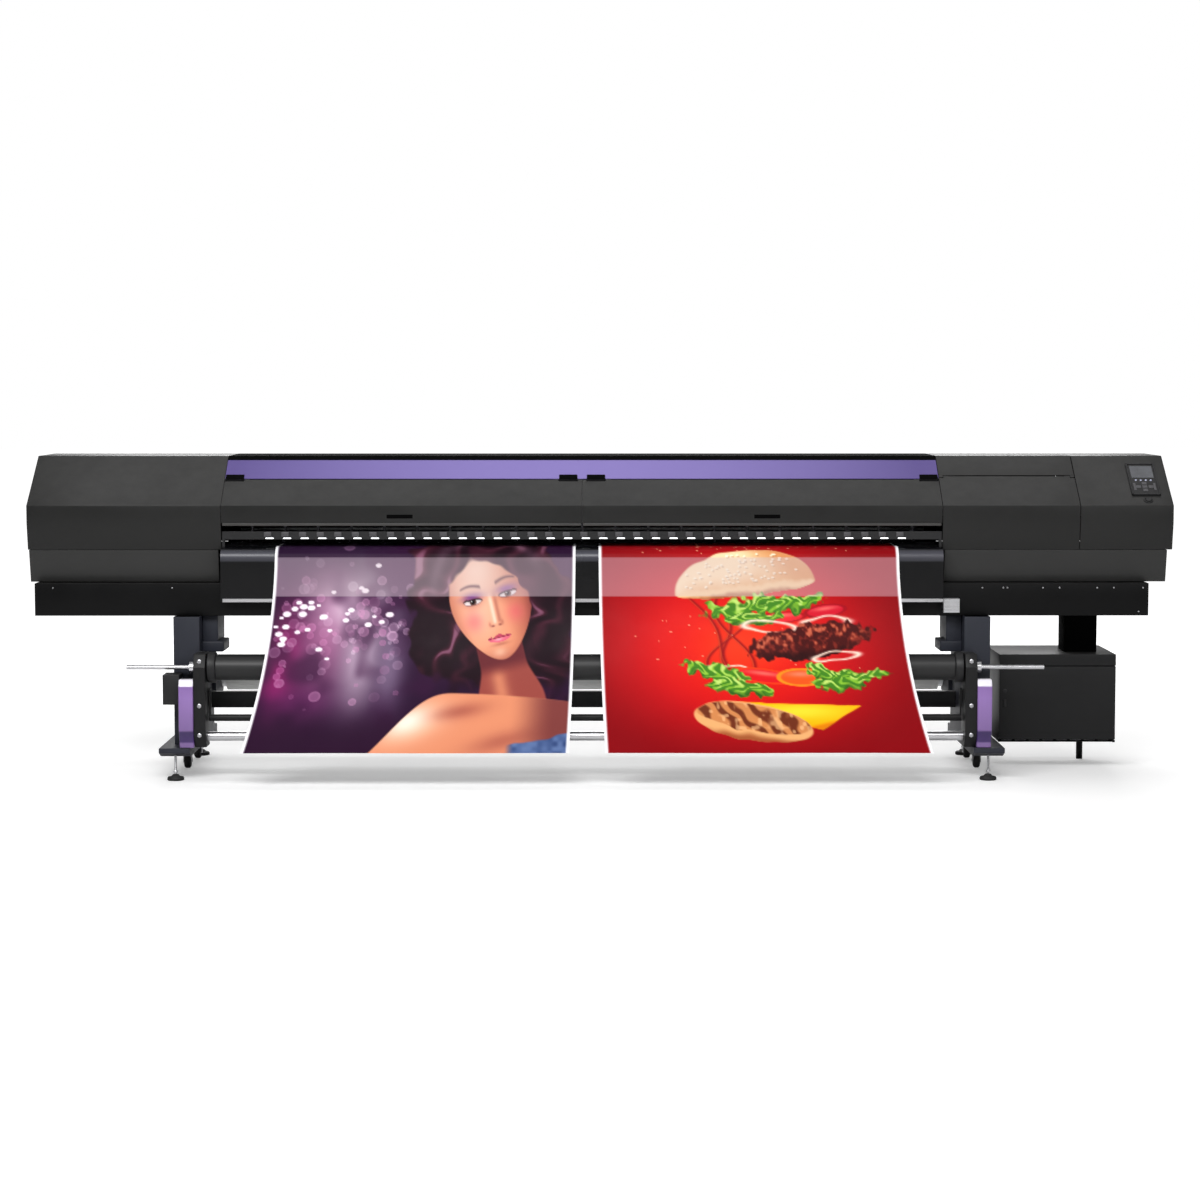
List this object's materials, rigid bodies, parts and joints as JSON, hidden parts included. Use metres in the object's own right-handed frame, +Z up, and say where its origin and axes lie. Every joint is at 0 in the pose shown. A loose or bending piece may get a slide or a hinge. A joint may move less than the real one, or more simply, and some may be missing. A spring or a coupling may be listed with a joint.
{
  "type": "roll-to-roll wide-format printer",
  "caption": "Grand-format roll printer on a stand: long head with hinged covers, carriage, platen, hanging printed webs, take-up shaft, supply roll and ink cabinet.",
  "frame": {"origin": "on the floor, under the middle of the part's box", "axes": "+X to the operator's right along the machine, +Y from the operator's side to the back, +Z up"},
  "size_m": [5.48, 1.25, 1.527],
  "materials": {
    "dark_metal": "satin textured paint",
    "leg_paint": "blue-grey textured paint",
    "cover_light": "satin grey paint",
    "cover_dark": "satin dark grey paint",
    "violet": "satin violet",
    "black_paint": "satin black paint",
    "bare_metal": "brushed",
    "steel": "ground",
    "apron": "semi-gloss",
    "platen": "anodised",
    "plastic": "moulded, fine grain",
    "rubber": "matt",
    "lens": "lit diffuser",
    "screen": "glossy",
    "tube": "dark kraft",
    "media": "printed, semi-gloss",
    "blank_media": "unprinted roll",
    "tank": "translucent"
  },
  "bodies": {
    "frame": {"base_beam": "black_paint", "leg_left": "leg_paint", "leg_right": "leg_paint", "foot_beam_left": "leg_paint", "foot_beam_right": "leg_paint", "stretcher": "dark_metal", "platen": "platen", "platen_supports": "dark_metal", "front_apron": "apron", "edge_rail": "bare_metal", "carriage_beam": "platen", "end_frames": "dark_metal", "left_end_cover": "cover_light", "left_lower_cover": "cover_dark", "right_end_cover": "cover_light", "right_lower_cover": "cover_dark", "service_top": "cover_light", "accent_strip": "violet", "roof_cover": "black_paint", "back_cover": "dark_metal", "hinge_blocks": "plastic", "led_bar": "plastic", "led_lenses": "lens", "control_panel": "plastic", "display": "screen", "timing_belt": "rubber", "takeup_brackets": "dark_metal", "bracket_trims": "violet", "takeup_motor": "plastic", "cross_tube": "bare_metal", "supply_brackets": "leg_paint", "cabinet_body": "dark_metal", "cabinet_neck": "dark_metal", "ink_tanks": "tank", "castor_forks": "steel", "media_webs": "media"},
    "left_flap": {"front_cover_left": "cover_light"},
    "right_flap": {"front_cover_right": "cover_light"},
    "service_flap": {"service_cover": "cover_light"},
    "carriage": {"carriage": "plastic"},
    "drive_pulley": {"drive_pulley": "bare_metal"},
    "idler_pulley": {"idler_pulley": "bare_metal"},
    "grit": {"grit_roller": "steel"},
    "pinch": {"pinch_rollers": "rubber"},
    "cap": {"cap_station": "plastic"},
    "takeup": {"takeup_shaft": "bare_metal", "takeup_tube": "tube"},
    "tension": {"tension_bar": "dark_metal"},
    "supply": {"supply_shaft": "bare_metal", "supply_roll": "blank_media"},
    "stop": {"stop_button": "plastic"},
    "door": {"cabinet_door": "dark_metal"},
    "leveller_front_left": {"leveller_front_left": "black_paint"},
    "leveller_rear_left": {"leveller_rear_left": "black_paint"},
    "wheel_front_left": {"wheel_front_left": "rubber"},
    "wheel_rear_left": {"wheel_rear_left": "rubber"},
    "leveller_front_right": {"leveller_front_right": "black_paint"},
    "leveller_rear_right": {"leveller_rear_right": "black_paint"},
    "wheel_front_right": {"wheel_front_right": "rubber"},
    "wheel_rear_right": {"wheel_rear_right": "rubber"}
  },
  "joints": [
    {"name": "left_cover_hinge", "type": "hinge", "parent": "frame", "child": "left_flap", "pos_m": [0, -0.00538, 1.41324], "axis": [-1, 0, 0], "range_deg": [0, 70]},
    {"name": "right_cover_hinge", "type": "hinge", "parent": "frame", "child": "right_flap", "pos_m": [0, -0.00538, 1.41324], "axis": [-1, 0, 0], "range_deg": [0, 70]},
    {"name": "service_cover_hinge", "type": "hinge", "parent": "frame", "child": "service_flap", "pos_m": [0, 0.01576, 1.42837], "axis": [-1, 0, 0], "range_deg": [0, 60]},
    {"name": "carriage_slide", "type": "slide", "parent": "frame", "child": "carriage", "axis": [1, 0, 0], "range_m": [-4, 0]},
    {"name": "drive_pulley_spin", "type": "hinge", "parent": "frame", "child": "drive_pulley", "pos_m": [2.5, 0.199, 1.362], "axis": [0, 1, 0], "continuous": true},
    {"name": "idler_pulley_spin", "type": "hinge", "parent": "frame", "child": "idler_pulley", "pos_m": [-2.5, 0.199, 1.362], "axis": [0, 1, 0], "continuous": true},
    {"name": "grit_roller_spin", "type": "hinge", "parent": "frame", "child": "grit", "pos_m": [0, 0.155, 1.0853], "axis": [1, 0, 0], "continuous": true},
    {"name": "pinch_roller_spin", "type": "hinge", "parent": "frame", "child": "pinch", "pos_m": [0, 0.155, 1.1098], "axis": [1, 0, 0], "continuous": true},
    {"name": "cap_lift", "type": "slide", "parent": "frame", "child": "cap", "axis": [0, 0, 1], "range_m": [0, 0.006]},
    {"name": "takeup_spin", "type": "hinge", "parent": "frame", "child": "takeup", "pos_m": [0, -0.285, 0.535], "axis": [1, 0, 0], "continuous": true},
    {"name": "tension_bar_swing", "type": "hinge", "parent": "frame", "child": "tension", "pos_m": [0, -0.255, 0.42], "axis": [1, 0, 0], "range_deg": [-25, 25]},
    {"name": "supply_spin", "type": "hinge", "parent": "frame", "child": "supply", "pos_m": [0, 0.465, 0.43], "axis": [1, 0, 0], "continuous": true},
    {"name": "stop_button_press", "type": "slide", "parent": "frame", "child": "stop", "axis": [0, 0.582, -0.8132], "range_m": [0, 0.003], "stiffness_N_per_m": 500, "springref_m": -0.001},
    {"name": "cabinet_door_hinge", "type": "hinge", "parent": "frame", "child": "door", "pos_m": [2.505, 0.033, 0.326], "axis": [0, 0, 1], "range_deg": [0, 110]},
    {"name": "leveller_front_left_screw", "type": "slide", "parent": "frame", "child": "leveller_front_left", "axis": [0, 0, 1], "range_m": [-0.025, 0]},
    {"name": "leveller_rear_left_screw", "type": "slide", "parent": "frame", "child": "leveller_rear_left", "axis": [0, 0, 1], "range_m": [-0.025, 0]},
    {"name": "wheel_front_left_spin", "type": "hinge", "parent": "frame", "child": "wheel_front_left", "pos_m": [-2.0195, 0.086, 0.041], "axis": [1, 0, 0], "continuous": true},
    {"name": "wheel_rear_left_spin", "type": "hinge", "parent": "frame", "child": "wheel_rear_left", "pos_m": [-2.0195, 0.445, 0.041], "axis": [1, 0, 0], "continuous": true},
    {"name": "leveller_front_right_screw", "type": "slide", "parent": "frame", "child": "leveller_front_right", "axis": [0, 0, 1], "range_m": [-0.025, 0]},
    {"name": "leveller_rear_right_screw", "type": "slide", "parent": "frame", "child": "leveller_rear_right", "axis": [0, 0, 1], "range_m": [-0.025, 0]},
    {"name": "wheel_front_right_spin", "type": "hinge", "parent": "frame", "child": "wheel_front_right", "pos_m": [1.8435, 0.086, 0.041], "axis": [1, 0, 0], "continuous": true},
    {"name": "wheel_rear_right_spin", "type": "hinge", "parent": "frame", "child": "wheel_rear_right", "pos_m": [1.8435, 0.445, 0.041], "axis": [1, 0, 0], "continuous": true}
  ],
  "couplings": [
    {"joint": "drive_pulley_spin", "follows": "carriage_slide", "rad_per_m": -47.5},
    {"joint": "idler_pulley_spin", "follows": "carriage_slide", "rad_per_m": -47.5},
    {"joint": "pinch_roller_spin", "follows": "grit_roller_spin", "ratio": -1.6667}
  ]
}
